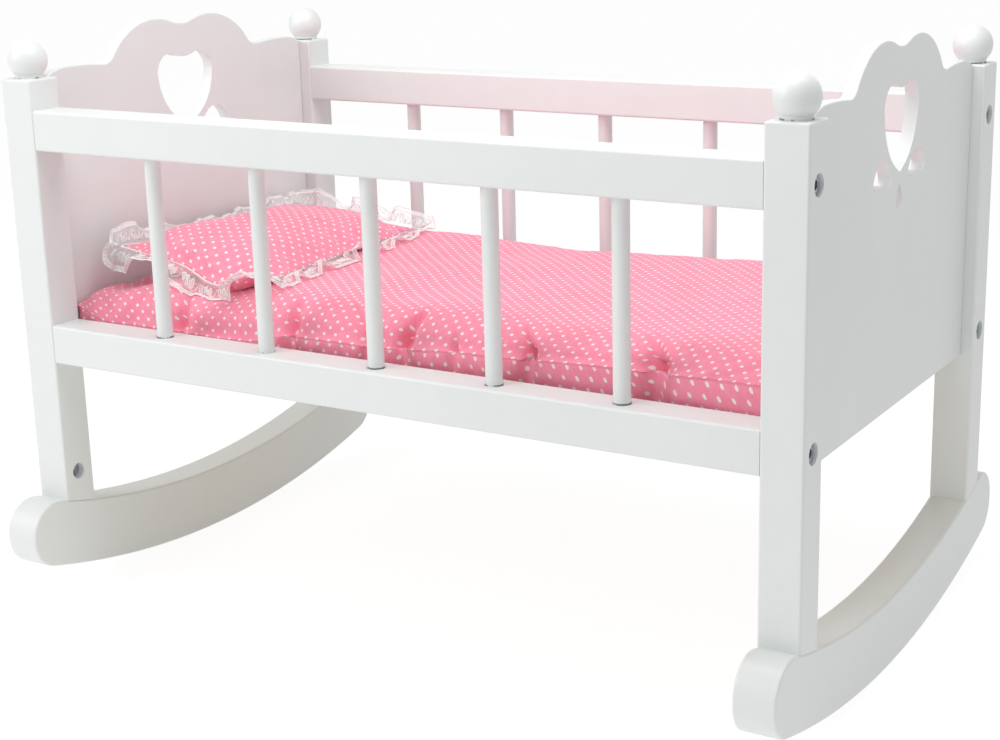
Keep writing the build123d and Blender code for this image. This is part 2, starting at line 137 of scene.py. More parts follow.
class MattressSettings(bpy.types.PropertyGroup):
    """Sizes of the mattress."""

    seam_height: length("Seam height", "Height of the seam above the underside", 0.018)
    edge_width: length("Edge width", "How far in from the seam the cloth climbs", 0.062)
    edge_fullness: FloatProperty(
        name="Edge fullness", description="Roundness of the edge: 2 is an ellipse", default=3.2)
    under_width: length("Under width", "How far in the cloth turns under", 0.012)
    under_fullness: FloatProperty(
        name="Under fullness", description="Roundness of the turn below the seam", default=4.5)
    draw: length("Draw", "How far the sides pull in between the corners", 0.003)
    cell: length("Cell", "Size of a cell of the cloth mesh", 0.0038)
    swell: length("Swell", "Furthest that the filling may push the cloth", 0.004)
    pressure: FloatProperty(name="Pressure", description="Push of the filling", default=3.0)


class PillowSettings(bpy.types.PropertyGroup):
    """Sizes of the pillow."""

    length: length("Length", "Across the cradle, from corner to corner", 0.195)
    width: length("Width", "Along the cradle, from corner to corner", 0.110)
    crown: length("Crown", "Height of the top above the seam", 0.0175)
    belly: length("Belly", "Depth below the seam", 0.013)
    end_width: length("End width", "How far in from the short sides the cloth climbs", 0.075)
    tilt: FloatProperty(
        name="Tilt", description="Slope of the seam up to the head panel",
        default=radians(3.5), subtype="ANGLE", unit="ROTATION")
    cell: length("Cell", "Size of a cell of the cloth mesh", 0.0026)
    slack: share("Slack", "Height of the unfilled top, as a share of the filled one", 0.72)
    swell: length("Swell", "Furthest that the filling may push the cloth", 0.009)
    pressure: FloatProperty(name="Pressure", description="Push of the filling", default=4.0)


class FrillSettings(bpy.types.PropertyGroup):
    """Sizes of the gathered net frill."""

    width: length("Width", "From the pillow's seam to the scalloped edge", 0.017)
    gather: FloatProperty(
        name="Gather", description="Length of net for each length of seam", default=1.25)
    corner: length("Corner", "Length of net that goes round a corner", 0.030)
    step: length("Step", "Length of net from row to row of its mesh", 0.001)
    cord: length("Cord", "Diameter of the edge cord and motif threads", 0.00062)
    mesh: length("Mesh", "Size of the holes of the net", 0.0011)
    motif: length("Motif", "Length of net from motif to motif", 0.0155)
    scallop: length("Scallop", "Length of a scallop of the edge", 0.0052)


class StudioSettings(bpy.types.PropertyGroup):
    """Light and camera."""

    ambient: FloatProperty(
        name="Ambient", description="Even light from all round", default=0.495, min=0)
    key: FloatProperty(
        name="Key", description="Light from the front left", default=0.47, min=0)
    top: FloatProperty(name="Top", description="Light from above", default=0.64, min=0)
    lens: FloatProperty(
        name="Lens", description="Focal length in millimetres on a 36 mm sensor", default=63.85)


SETTINGS = {
    "cradle_finish": FinishSettings,
    "cradle_cotton": CottonSettings,
    "cradle_mattress": MattressSettings,
    "cradle_pillow": PillowSettings,
    "cradle_frill": FrillSettings,
    "cradle_studio": StudioSettings,
}


# Finishes

# The painted shade of the gap at a joint of the wood: how far off it is full, and how far off it
# ends
JOINT_GAP_SHADE = (0.4 * MM, 1.1 * MM)
# How far the edge of a printed dot wanders and blurs
DOT_WANDER = 0.5 * MM
DOT_BLUR = 0.18 * MM
# Width of a stitch of the net's close work
STITCH = 0.6 * MM
# How far from a stitched seam its attribute falls from 1 to 0, and how far from it the groove
# between the two sheets, with its painted shade, starts and is full
SEAM_FADE = 20 * MM
SEAM_GROOVE_AND_SHADE = (1.1 * MM, 0.3 * MM)


class Value:
    """An output of a node, whose arithmetic adds Math nodes."""

    def __init__(self, finish, socket):
        self.finish = finish
        self.socket = socket

    def math(self, operation, *values):
        """Adds a Math node."""
        return self.finish.node("Math", {"operation": operation}, dict(enumerate(values)))

    def __add__(self, other):
        return self.math("ADD", self, other)

    def __sub__(self, other):
        return self.math("SUBTRACT", self, other)

    def __rsub__(self, other):
        return self.math("SUBTRACT", other, self)

    def __mul__(self, other):
        return self.math("MULTIPLY", self, other)

    def __truediv__(self, other):
        return self.math("DIVIDE", self, other)

    __radd__ = __add__

    def fraction(self):
        return self.math("FRACT", self)

    def sine(self):
        return self.math("SINE", self)

    def size(self):
        return self.math("ABSOLUTE", self)

    def root(self):
        return self.math("SQRT", self)

    def least(self, other):
        return self.math("MINIMUM", self, other)

    def most(self, other):
        return self.math("MAXIMUM", self, other)

    def ramp(self, low, high, start=0.0, end=1.0):
        """Goes smoothly from start to end while the value goes from low to high."""
        return self.finish.node(
            "MapRange", {"interpolation_type": "SMOOTHSTEP"},
            {"Value": self, "From Min": low, "From Max": high, "To Min": start, "To Max": end})


class Finish:
    """A material or a world, with one method that adds any node."""

    def __init__(self, name, world=False):
        self.owner = (bpy.data.worlds if world else bpy.data.materials).new(name)
        self.owner.use_nodes = True
        self.tree = self.owner.node_tree
        self.tree.nodes.clear()

    def node(self, kind, settings=(), sockets=(), output=0):
        """Adds a node: its settings first, then its sockets' values and links."""
        made = self.tree.nodes.new("ShaderNode" + kind)
        for name, value in dict(settings).items():
            setattr(made, name, value)
        for name, value in dict(sockets).items():
            if isinstance(value, Value):
                self.tree.links.new(value.socket, made.inputs[name])
            else:
                made.inputs[name].default_value = value
        return Value(self, made.outputs[output]) if made.outputs else None

    def place(self):
        """Object coordinates, in metres."""
        return self.node("TexCoord", output="Object")

    def cloth(self):
        """The cloth's own coordinates in metres: together, along it and across it."""
        both = self.node("UVMap", {"uv_map": "cloth"})
        return both, self.axis(both, "X"), self.axis(both, "Y")

    def axis(self, place, name):
        """One coordinate of a place."""
        return self.node("SeparateXYZ", sockets={0: place}, output=name)

    def stretched(self, place, scale):
        """The place scaled differently along each axis."""
        return self.node("Mapping", sockets={"Vector": place, "Scale": scale})

    def noise(self, place, scale, detail=2.0, rough=0.5):
        """Noise from 0 to 1 that has about `scale` waves to the metre."""
        return self.node(
            "TexNoise", sockets={
                "Vector": place, "Scale": scale, "Detail": detail, "Roughness": rough})

    def mix(self, factor, first, second):
        """One colour blended into another."""
        mixed = {0: factor, 6: first, 7: second}
        return self.node("Mix", {"data_type": "RGBA"}, mixed, output=2)

    def bump(self, height, distance, strength=1.0, over=None):
        """A normal from a height of 0 to 1 that stands for a distance in metres."""
        sockets = {"Height": height, "Distance": distance, "Strength": strength}
        if over is not None:
            sockets["Normal"] = over
        return self.node("Bump", sockets=sockets)

    def surface(self, **sockets):
        """The Principled shader, with sockets named in snake case."""
        named = {
            name.replace("_", " ").title().replace("Ior", "IOR"): value
            for name, value in sockets.items()}
        shader = self.node("BsdfPrincipled", sockets=named)
        return self.output(shader)

    def output(self, shader):
        """Puts the shader on the material, and gives the material."""
        self.node("OutputMaterial", sockets={"Surface": shader})
        return self.owner


def shade(tint, factor=1.0):
    """A colour made darker or lighter, with an alpha of 1."""
    return (*(min(1.0, part * factor) for part in tint), 1.0)


def grey(level):
    """A grey, up to white at 1."""
    return (level, level, level, 1.0)


def lacquer_finish(name, stretch, grain_depth, settings, joint=None):
    """White lacquer: faint orange peel, and the grain under it along the piece.

    joint is a height at which a painted shade line, standing for the dark gap there, breaks it
    here and there, as where a spindle enters a rail or a ball meets its post.
    """
    finish = Finish(name)
    place = finish.place()
    broad = finish.noise(place, 9.0, 3.0)
    mottle = finish.noise(place, 70.0, 4.0, 0.6)
    peel = finish.noise(place, 620.0, 1.0)
    grain = finish.noise(finish.stretched(place, stretch), 1 / settings.grain, 3.0, 0.6)
    tone = broad.ramp(0.3, 0.7) * 0.6 + mottle.ramp(0.3, 0.7) * 0.4
    white = finish.mix(tone, shade(settings.lacquer, 0.985), shade(settings.lacquer, 1.015))
    if joint is not None:
        # Painted shade: a nearly black line, broken here and there, where the gap at the joint
        # lies in shadow
        height = finish.axis(place, "Z")
        near = (height - joint).size().ramp(*JOINT_GAP_SHADE, 1.0, 0.0)
        gap_shade = near * mottle.ramp(0.44, 0.5)
        white = finish.mix(gap_shade * 0.85, white, shade(settings.lacquer, 0.08))
    rough = settings.lacquer_gloss + (mottle - 0.5) * 0.12 + (grain - 0.5) * 0.05
    normal = finish.bump(
        peel, 0.02 * MM, over=finish.bump(
            grain, grain_depth * MM, over=finish.bump(broad, 0.2 * MM)))
    return finish.surface(
        base_color=white, roughness=rough, normal=normal, ior=1.5, specular_ior_level=0.5)


def zinc_finish(settings):
    """Zinc plate: fine pits and uneven brightness."""
    finish = Finish("zinc_plate")
    place = finish.place()
    cloud = finish.noise(place, 380.0, 3.0)
    pits = finish.noise(place, 2600.0, 2.0)
    metal = finish.mix(
        cloud.ramp(0.25, 0.75), shade(settings.zinc, 0.72), shade(settings.zinc, 1.2))
    return finish.surface(
        base_color=metal, metallic=1.0, roughness=0.28 + cloud * 0.2,
        normal=finish.bump(pits, 0.012 * MM))


def beech_finish(settings):
    """Bare beech with its short flecks."""
    finish = Finish("bare_beech")
    place = finish.place()
    fibre = finish.noise(finish.stretched(place, (1.0, 1.0, 0.12)), 900.0, 3.0, 0.6)
    fleck = finish.noise(finish.stretched(place, (1.0, 1.0, 0.3)), 1500.0, 1.0)
    wood = finish.mix(
        fibre.ramp(0.3, 0.7), shade(settings.beech, 0.8), shade(settings.beech, 1.15))
    wood = finish.mix(fleck.ramp(0.66, 0.75) * 0.5, wood, shade(settings.beech, 0.5))
    return finish.surface(
        base_color=wood, roughness=0.6 + fibre * 0.15, normal=finish.bump(fibre, 0.05 * MM))


def plywood_finish(settings):
    """Birch plywood: long soft figure along the board, darker lines and pores."""
    finish = Finish("birch_plywood")
    place = finish.place()
    figure = finish.noise(finish.stretched(place, (0.12, 1.0, 1.0)), 26.0, 4.0, 0.6)
    rings = ((figure * 9.0).fraction() - 0.5).size() * 2.0
    fibre = finish.noise(finish.stretched(place, (0.04, 1.0, 1.0)), 900.0, 2.0)
    wood = finish.mix(
        rings.ramp(0.0, 1.0), shade(settings.plywood, 0.84), shade(settings.plywood, 1.12))
    wood = finish.mix(fibre.ramp(0.45, 0.75) * 0.5, wood, shade(settings.plywood, 0.66))
    return finish.surface(
        base_color=wood, roughness=0.55 + fibre * 0.2, normal=finish.bump(fibre, 0.04 * MM))


def cotton_finish(settings):
    """Pink cotton printed with white dots, on the cloth's own coordinates."""
    finish = Finish("pink_dotted_cotton")
    cloth, along, across = finish.cloth()
    place = finish.place()
    wander = finish.noise(place, 900.0, 2.0) - 0.5
    pitch, radius = settings.dot_pitch, settings.dot_diameter / 2
    rows = []
    for shift in (0.0, 0.5):
        du = (along / pitch + shift).fraction() - 0.5
        dv = (across / pitch + shift).fraction() - 0.5
        rows.append((du * du + dv * dv).root() * pitch)
    distance = rows[0].least(rows[1]) + wander * DOT_WANDER
    dots = distance.ramp(radius - DOT_BLUR, radius + DOT_BLUR, 1.0, 0.0)

    cloud = finish.noise(place, 26.0, 3.0)
    slub = finish.noise(finish.stretched(cloth, (1.0, 0.1, 1.0)), 1500.0, 2.0)
    pink = finish.mix(
        cloud.ramp(0.25, 0.75), shade(settings.ground, 0.94), shade(settings.ground, 1.04))
    pink = finish.mix(slub.ramp(0.4, 0.8) * 0.18, pink, shade(settings.dot))
    printed = finish.mix(dots * 0.94, pink, shade(settings.dot))
    to_seam = finish.node("Attribute", {"attribute_name": "to_seam"}, output="Fac")
    groove = to_seam.ramp(*(1 - reach / SEAM_FADE for reach in SEAM_GROOVE_AND_SHADE))
    # Painted shade: the cloth is darkened in the seam's groove, which is also bumped below
    printed = finish.mix(groove * 0.36, printed, shade(settings.ground, 0.62))

    turns = pi / settings.thread
    warp, weft = (along * turns).sine(), (across * turns).sine()
    weave = (warp * weft) * 0.5 + 0.5
    crumple = finish.noise(place, 95.0, 3.0, 0.55)
    normal = finish.bump(
        weave, 0.05 * MM, 0.6, finish.bump(
            crumple, 0.9 * MM, 0.5, finish.bump(1 - groove, 0.4 * MM)))
    return finish.surface(
        base_color=printed, roughness=0.82 + slub * 0.12, normal=normal,
        subsurface_weight=0.3, subsurface_radius=(0.008, 0.001, 0.0014), subsurface_scale=1.0,
        sheen_weight=0.12, sheen_roughness=0.5, specular_ior_level=0.25)


def net_finish(settings):
    """Fine see-through net, closer by its edges, on the net's own coordinates."""
    finish = Finish("white_net")
    cloth, along, across = finish.cloth()
    turns = pi / settings.mesh
    first = ((along + across) * turns).sine().size()
    second = ((along - across) * turns).sine().size()
    threads = first.least(second).ramp(0.12, 0.34, 1.0, 0.0)
    # Close work: a band by the scalloped edge, a narrow one at the gathers and one leafy patch
    # in each motif
    share_out = across / settings.width
    band = share_out.ramp(0.78, 0.84)
    tape = share_out.ramp(0.05, 0.10, 1.0, 0.0)
    turn = (along / settings.motif).fraction() - 0.5
    leaf_u, leaf_v = turn * 2.6, (share_out - 0.46) * 4.2
    outline = leaf_u * leaf_u + leaf_v * leaf_v + (turn * 26.0).sine() * 0.35
    leaves = outline.ramp(0.35, 0.6, 1.0, 0.0)
    stitches = ((along * (pi / STITCH)).sine() * 0.5 + 0.5).ramp(0.1, 0.6, 0.35, 1.0)
    close = (band * 0.75).most(tape).most(leaves * 0.7) * stitches
    cover = threads.most(close) * 0.9
    fuzz = finish.noise(cloth, 2400.0, 2.0)
    white = finish.mix(fuzz, grey(0.96), grey(1.0))
    return finish.surface(
        base_color=white, roughness=0.7 + fuzz * 0.2, alpha=cover,
        normal=finish.bump(cover, 0.012 * MM), sheen_weight=0.5, sheen_roughness=0.6,
        specular_ior_level=0.3)


def thread_finish():
    """White twisted cotton thread."""
    finish = Finish("white_thread")
    place = finish.place()
    twist = finish.noise(place, 3200.0, 2.0)
    white = finish.mix(twist, grey(0.93), grey(1.0))
    return finish.surface(
        base_color=white, roughness=0.7 + twist * 0.2, normal=finish.bump(twist, 0.03 * MM),
        subsurface_weight=0.6, subsurface_radius=(0.0012, 0.001, 0.001), subsurface_scale=1.0,
        sheen_weight=0.5, sheen_roughness=0.6)


def paint_nodes(names, material):
    """Gives CAD nodes their finish."""
    for name in names:
        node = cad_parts[name]
        node.data.materials.clear()
        node.data.materials.append(material)


class CRADLE_OT_lacquer(bpy.types.Operator):
    """Lacquers the posts, rails, spindles, panels, rockers and finials"""

    bl_idname = "cradle.lacquer"
    bl_label = "Lacquer the wood"

    def execute(self, context):
        settings = context.scene.cradle_finish
        upright, lengthwise, even = (1.0, 1.0, 0.05), (0.05, 1.0, 1.0), (1.0, 1.0, 1.0)
        rail_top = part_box("lower_rail_front")[1].z
        post_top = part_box("foot_post_front")[1].z
        for name, names, stretch, depth, joint in (
            ("lacquered_uprights", POSTS, upright, 0.05, None),
            ("lacquered_finials", FINIALS, upright, 0.05, post_top),
            ("lacquered_spindles", SPINDLES, upright, 0.05, rail_top),
            ("lacquered_rails", RAILS, lengthwise, 0.05, None),
            ("lacquered_boards", PANELS + ROCKERS, even, 0.02, None),
        ):
            paint_nodes(names, lacquer_finish(name, stretch, depth, settings, joint))
        return {"FINISHED"}


class CRADLE_OT_fasteners(bpy.types.Operator):
    """Plates the bolts and barrel nuts, and leaves the dowels and the board bare"""

    bl_idname = "cradle.fasteners"
    bl_label = "Finish the fasteners and board"

    def execute(self, context):
        settings = context.scene.cradle_finish
        paint_nodes(BOLTS + BARREL_NUTS, zinc_finish(settings))
        paint_nodes(HIDDEN_WOOD, beech_finish(settings))
        paint_nodes(("base_board",), plywood_finish(settings))
        return {"FINISHED"}


# Cloth

# How far the dots of a lower sheet are from those of the upper one
LOWER_PRINT = Vector((3.1 * MM, 4.3 * MM))
# Points of a cushion's two sheets that are nearer than this are sewn into one
WELD = 0.01 * MM
# How near the seam's height a point is on the seam
ON_SEAM = 0.001 * MM
# How sharp the seam stays when the mesh is refined
SEAM_CREASE = 0.9
# How far out a corner starts, as a share of the squared half diagonal
CORNER_START = 0.995
# The cotton in its simulation, which lets it grow by 3%
CLOTH_SETTINGS = {
    "quality": 6,
    "mass": 0.15,
    "tension_stiffness": 25,
    "compression_stiffness": 25,
    "shear_stiffness": 8,
    "bending_stiffness": 0.1,
    "shrink_min": -0.03,
    "use_pressure": True,
}
# How many frames the filling pushes for
FILLING_FRAMES = 20
# A height over everything in the cradle
OVERHEAD = 0.5


class Section:
    """How a cushion's cloth climbs from its seam, by length of cloth.

    extra_as is the section of the other sheet, whose cloth this one's has to be as long as.
    """

    steps = 240

    def __init__(self, width, height, fullness, extra_as=None):
        self.width = width
        self.lengths, self.points = [0.0], [(0.0, 0.0)]
        for step in range(1, self.steps + 1):
            angle = pi / 2 * step / self.steps
            inward = width * (1 - cos(angle) ** (2 / fullness)) if step < self.steps else width
            climb = sin(angle) ** (2 / fullness)
            last_in, last_up = self.points[-1]
            run = hypot(inward - last_in, (climb - last_up) * height)
            self.lengths.append(self.lengths[-1] + run)
            self.points.append((inward, climb))
        if extra_as:
            stretch = (width + extra_as.extra()) / self.lengths[-1]
            self.lengths = [run * stretch for run in self.lengths]

    def extra(self):
        """How much longer the cloth is than what it covers."""
        return self.lengths[-1] - self.width

    def at(self, run):
        """(distance in from the seam, share of the height) at a length of cloth."""
        if run >= self.lengths[-1]:
            return self.width + run - self.lengths[-1], 1.0
        place = max(1, bisect_left(self.lengths, run))
        low, high = self.lengths[place - 1], self.lengths[place]
        part = (run - low) / (high - low)
        (in_low, up_low), (in_high, up_high) = self.points[place - 1], self.points[place]
        return in_low + (in_high - in_low) * part, up_low + (up_high - up_low) * part


def cushion_sheet(mesh, half, cell, sections, height, draw):
    """Adds one sheet of a cushion to the bmesh: an even grid of cloth, shaped over its filling.

    sections are those along and across. The seam is at z = 0, and height is below 0 for the
    lower sheet.
    """
    cloth = Vector([side + section.extra() for side, section in zip(half, sections)])
    count = [max(8, round(2 * side / cell)) for side in cloth]
    layer = mesh.loops.layers.uv.verify()
    to_seam = mesh.verts.layers.float.get("to_seam")
    offset = Vector((0, 0)) if height > 0 else LOWER_PRINT
    grid = bmesh.ops.create_grid(mesh, x_segments=count[0], y_segments=count[1], size=1)
    own = set(grid["verts"])
    for face in mesh.faces:
        if face.verts[0] in own:
            for loop in face.loops:
                loop[layer].uv = offset + cloth * loop.vert.co.xy
    for vert in own:
        shares = vert.co.x, vert.co.y
        runs = [(1 - abs(part)) * side for part, side in zip(shares, cloth)]
        if to_seam:
            vert[to_seam] = max(0.0, 1 - min(runs) / SEAM_FADE)
        (in_x, up_x), (in_y, up_y) = (
            section.at(run) for section, run in zip(sections, runs))
        flat_x, flat_y = runs[0] * half.x / cloth.x, runs[1] * half.y / cloth.y
        x = half.x - (flat_x + (in_x - flat_x) * up_y)
        y = half.y - (flat_y + (in_y - flat_y) * up_x)
        drawn_x = draw * (1 - (y / half.y) ** 2) * x / half.x
        drawn_y = draw * (1 - (x / half.x) ** 2) * y / half.y
        side_x, side_y = (1 if part >= 0 else -1 for part in shares)
        x, y = side_x * (x - drawn_x), side_y * (y - drawn_y)
        vert.co = x, y, height * up_x * up_y


def make_cushion(name, half, cell, upper, lower, draw, stitched=True):
    """A two-sheet cushion as a mesh object. upper and lower are (sections, height).

    The seam of a stitched one shows as a groove, with painted shade in it.
    """
    mesh = bmesh.new()
    mesh.loops.layers.uv.new("cloth")
    if stitched:
        mesh.verts.layers.float.new("to_seam")
    for sections, height in (upper, lower):
        cushion_sheet(mesh, half, cell, sections, height, draw)
    bmesh.ops.remove_doubles(mesh, verts=mesh.verts, dist=WELD)
    bmesh.ops.recalc_face_normals(mesh, faces=mesh.faces)
    if mesh.calc_volume(signed=True) < 0:
        bmesh.ops.reverse_faces(mesh, faces=mesh.faces)
    for face in mesh.faces:
        face.smooth = True
    firm = mesh.edges.layers.float.new("crease_edge")
    sharp = mesh.verts.layers.float.new("crease_vert")
    for edge in mesh.edges:
        if all(abs(vert.co.z) < ON_SEAM for vert in edge.verts):
            edge[firm] = SEAM_CREASE
    for vert in mesh.verts:
        if vert.co.xy.length_squared > half.length_squared * CORNER_START:
            vert[sharp] = 1.0
    data = bpy.data.meshes.new(name)
    mesh.to_mesh(data)
    mesh.free()
    piece = bpy.data.objects.new(name, data)
    bpy.context.scene.collection.objects.link(piece)
    return piece


def crown(piece):
    """Mean height of the middle of a cushion's upper sheet, over its seam."""
    reach = [max(vert.co[axis] for vert in piece.data.vertices) / 2 for axis in (0, 1)]
    heights = [
        vert.co.z for vert in piece.data.vertices
        if vert.co.z > 0 and abs(vert.co.x) < reach[0] and abs(vert.co.y) < reach[1]]
    return sum(heights) / len(heights)


def scale_crown(piece, factor):
    """Makes a cushion's upper sheet higher or lower."""
    move_points(piece, lambda point: Vector((
        point.x, point.y, point.z * (factor if point.z > 0 else 1))))


def swell(piece, cap, pressure):
    """Lets the filling push the cloth out between its stitches, by up to cap, for good."""
    rest = [vert.co.copy() for vert in piece.data.vertices]
    seam = [number for number, place in enumerate(rest) if abs(place.z) < ON_SEAM]
    group = piece.vertex_groups.new(name="stitched")
    group.add(seam, 1.0, "REPLACE")
    cloth = piece.modifiers.new("filling", "CLOTH")
    for name, value in CLOTH_SETTINGS.items():
        setattr(cloth.settings, name, value)
    cloth.settings.uniform_pressure_force = pressure
    cloth.settings.vertex_group_mass = group.name
    cloth.settings.effector_weights.gravity = 0
    scene = bpy.context.scene
    for number in range(1, FILLING_FRAMES + 1):
        scene.frame_set(number)
    moved = piece.evaluated_get(bpy.context.evaluated_depsgraph_get()).to_mesh()
    places = [vert.co.copy() for vert in moved.vertices]
    piece.modifiers.remove(cloth)
    piece.vertex_groups.remove(group)
    scene.frame_set(1)
    for vert, old, new in zip(piece.data.vertices, rest, places):
        move = new - old
        vert.co = old + move * (cap / max(cap, move.length))


def move_points(piece, change):
    """Moves each point of a mesh to what change says."""
    for vert in piece.data.vertices:
        vert.co = change(vert.co)


def push_in(piece, push):
    """Moves each point of a mesh inwards, square to its surface, by what push says."""
    moves = [vert.normal * -push(vert.co) for vert in piece.data.vertices]
    for vert, move in zip(piece.data.vertices, moves):
        vert.co += move


def refine(piece):
    """Subdivides a mesh once, for good."""
    finer = piece.modifiers.new("finer", "SUBSURF")
    finer.levels = finer.render_levels = 1
    data = bpy.data.meshes.new_from_object(
        piece.evaluated_get(bpy.context.evaluated_depsgraph_get()))
    piece.modifiers.remove(finer)
    coarse, piece.data = piece.data, data
    bpy.data.meshes.remove(coarse)


def cotton(context):
    """The dotted cotton, made once for both cushions."""
    found = bpy.data.materials.get("pink_dotted_cotton")
    return found or cotton_finish(context.scene.cradle_cotton)


def finish_piece(piece, material, body, node):
    """A piece's material, body, slot and the CAD node that it stands for."""
    piece.data.materials.append(material)
    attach(piece, body)
    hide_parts(node)


def bell(distance, width):
    """1 at no distance, falling smoothly to nothing by about twice the width."""
    return exp(-(distance / width) ** 2)


def rises(table, x, y):
    """Height at a place of a table's hollows and rises."""
    return sum(
        rise * MM * bell(hypot(x - at_x * MM, y - at_y * MM), radius * MM)
        for at_x, at_y, radius, rise in table)


def unevenness(kind, x, y):
    """Random height at a place, of a kind (height, waves to the metre, place in the noise)."""
    height, waves, layer = kind
    return height * noise.noise(Vector((x * waves, y * waves, layer)))


def between(rows, at):
    """Values of a table at a place along it, eased from row to row.

    Each row starts with its own place.
    """
    for low, high in zip(rows, rows[1:]):
        if at <= high[0]:
            part = (at - low[0]) / (high[0] - low[0])
            part = part * part * (3 - 2 * part)
            return [a + (b - a) * part for a, b in zip(low[1:], high[1:])]
    return list(rows[-1][1:])


def surface_tree(piece):
    """A search tree of a finished piece, modifiers included."""
    return BVHTree.FromObject(piece, bpy.context.evaluated_depsgraph_get())


def height_under(tree, point):
    """Height of the surface under or over a point, or None beside it."""
    hit = tree.ray_cast(Vector((point.x, point.y, OVERHEAD)), Vector((0, 0, -1)))
    return hit[0].z if hit[0] else None


# Mattress

# Each pucker: place along its side, half width, depth, how far in from the seam it runs, and
# how much it leans along the side, all in millimetres
FRONT_PUCKERS = (
    (-209, 5, 1.8, 14, 4),
    (-168, 3.6, 5.8, 20, -4),
    (-130, 8, 1.2, 16, -4),
    (-78, 3.6, 6.6, 24, -4),
    (-15, 4, 4.8, 26, -30),
    (3, 3.8, 8.0, 26, 8),
    (44, 3.5, 6.5, 8, -3),
    (62, 8, 1.0, 16, -4),
    (95, 3.8, 9.8, 19, -11),
    (128, 9, 1.2, 18, -8),
    (177, 5.2, 11.0, 22, -11),
    (215, 8, 1.6, 20, 6),
)
BACK_PUCKERS = (
    (-190, 8, 2.0, 18, 4),
    (-120, 6, 2.6, 24, -5),
    (-55, 8, 2.0, 20, 6),
    (5, 7, 3.0, 28, -4),
    (66, 6, 2.2, 18, 5),
    (120, 8, 2.4, 24, -6),
    (196, 7, 2.4, 20, 3),
)
END_PUCKERS = (
    (-84, 7, 2.2, 22, 4),
    (-30, 6, 2.0, 18, -4),
    (22, 8, 2.4, 24, 5),
    (80, 6, 2.0, 18, -3),
)
# A pucker is a groove with a flat bottom, of this share of its depth, in a soft dip that is
# this many times as wide
GROOVE_SHARE = 0.65
DIP_WIDTH = 2.2
# Each hollow or rise of the top: x, y, radius and height in millimetres
TOP_WAVES = (
    (5, 118, 62, -3.6),
    (140, 112, 58, 1.6),
    (-90, 60, 60, -1.4),
    (70, 10, 75, -1.8),
    (180, -30, 60, 0.8),
    (-35, -92, 34, -2.4),
    (15, -86, 30, 0.9),
    (118, -80, 40, -1.4),
    (215, 60, 42, -1.2),
    (-157, -106, 26, -6.0),
    (-135, -100, 34, -2.0),
    (-243, -84, 34, -6.5),
    (-250, -48, 32, -6.5),
    (-100, 108, 50, 2.0),
    (225, 108, 60, 3.0),
)
# Height of the seam over its level place: place along the mattress and height in millimetres
SEAM_LINE = (
    (-258, 3.6), (-226, -6.0), (-112, -6.5), (-76, 1.0), (-15, 1.2), (60, 5.4), (150, 8.8),
    (240, 10.4), (258, 10.4),
)
# The underside's depth as a share of the crown's height
SEAM_SHARE = 0.72
# How strongly puckers pull at the seam. They pull twice as much from this height over it, and
# would stop at this depth under it
PUCKER_PULL = 0.8
PUCKER_RISE = 3.5 * MM
PUCKER_FADE = 32 * MM
# How much lower the head's front corner is filled, and how far from the corner
CORNER_LOW = 0.4
CORNER_REACH = 52 * MM
# Random unevenness of the top: height, waves to the metre, and a place in the noise
TOP_UNEVEN = (1.9 * MM, 16, 3.1)
# The share of the crown's height from which the top levels off
LEVEL_FROM = 0.72
# How far the sides bulge below the seam, as a share of the width
UNDER_BULGE = 0.02


def pucker_push(along, inward, puckers):
    """How far the puckers of one side pull the cloth in, at a place along it and in from it."""
    push = 0.0
    for place, half_width, depth, reach, lean in puckers:
        up = inward / (reach * MM)
        off = along - (place + lean * up) * MM
        wide = half_width * MM * (1.2 - 0.8 * max(0.0, min(1.0, up)))
        groove = GROOVE_SHARE / (1 + (off / wide) ** 4)
        dip = (1 - GROOVE_SHARE) * bell(off, DIP_WIDTH * half_width * MM)
        push += depth * MM * (groove + dip) * bell(inward, reach * MM)
    return push


def mattress_puckers(point, half):
    """How far the puckers pull the mattress in at a point."""
    x, y, z = point
    push = pucker_push(x, half.y + y, FRONT_PUCKERS) + pucker_push(x, half.y - y, BACK_PUCKERS)
    push += pucker_push(y, half.x - abs(x), END_PUCKERS)
    more = min(1.0, z / PUCKER_RISE) if z > 0 else z / PUCKER_FADE
    return push * PUCKER_PULL * (1 + more)


def shape_mattress(point, half, height):
    """The hollows and seam of the mattress at a point of its filled shape."""
    x, y, z = point
    if z > 0:
        z = level_off(z, height)
        up = min(1.0, z / height)
        z += up ** 0.5 * rises(TOP_WAVES, x, y) + up * unevenness(TOP_UNEVEN, x, y)
        z *= 1 - CORNER_LOW * bell(hypot(x + half.x, y + half.y), CORNER_REACH)
    else:
        y *= 1 + UNDER_BULGE * sin(pi * z / SEAM_SHARE / -height)
    near_seam = max(0.0, 1 - z / height if z > 0 else 1 + z / SEAM_SHARE / height)
    return Vector((x, y, z + between(SEAM_LINE, x / MM)[0] * MM * near_seam))


def level_off(z, height):
    """A height that nears the crown's but doesn't pass it, as the filling there is flat."""
    knee = LEVEL_FROM * height
    return z if z < knee else knee + (height - knee) * (1 - exp((knee - z) / (height - knee)))


